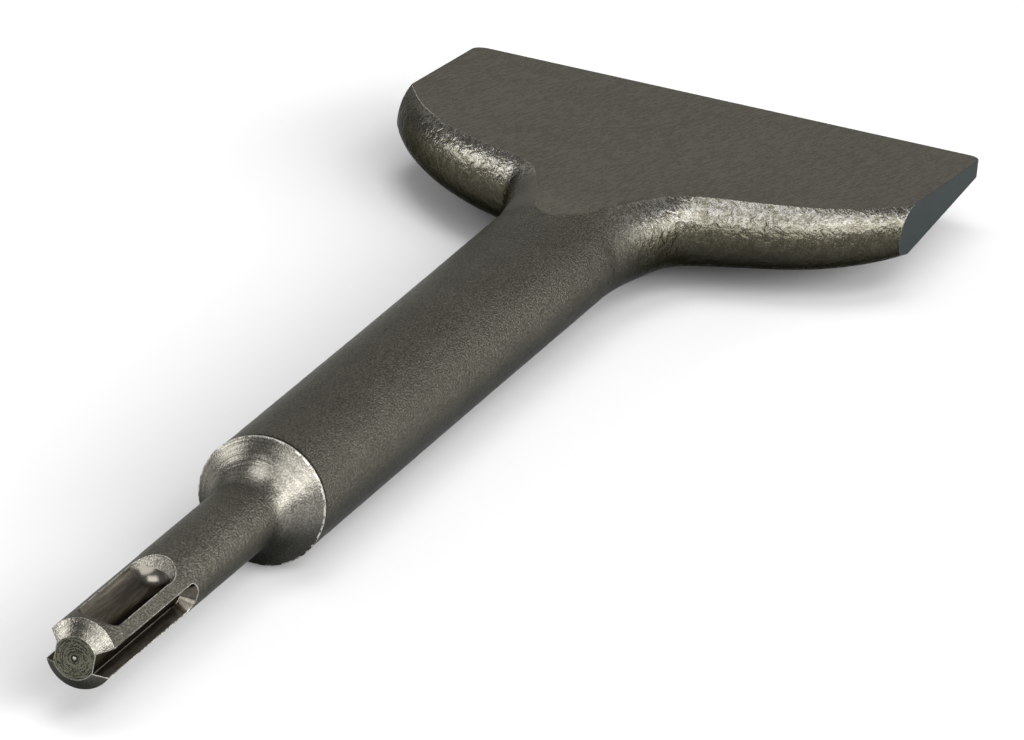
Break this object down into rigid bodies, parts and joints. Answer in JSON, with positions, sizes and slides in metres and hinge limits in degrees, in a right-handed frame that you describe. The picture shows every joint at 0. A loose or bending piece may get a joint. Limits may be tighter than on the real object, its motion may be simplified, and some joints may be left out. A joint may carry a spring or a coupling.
{
  "type": "flat chisel",
  "caption": "Wide flat forged chisel: slotted round shank, trumpet-shaped collar, round body, and a broad blade with rounded shoulders and a ground flat edge.",
  "frame": {"origin": "centre of the shank's end face", "axes": "+Y along the axis from the shank's end to the cutting edge, +X along the cutting edge, +Z out of the upper ground face side"},
  "size_m": [0.08, 0.25, 0.0184],
  "materials": {
    "steel": "blasted dark steel with ground blade faces and sides"
  },
  "bodies": {
    "root": {"chisel": "steel"}
  },
  "joints": []
}
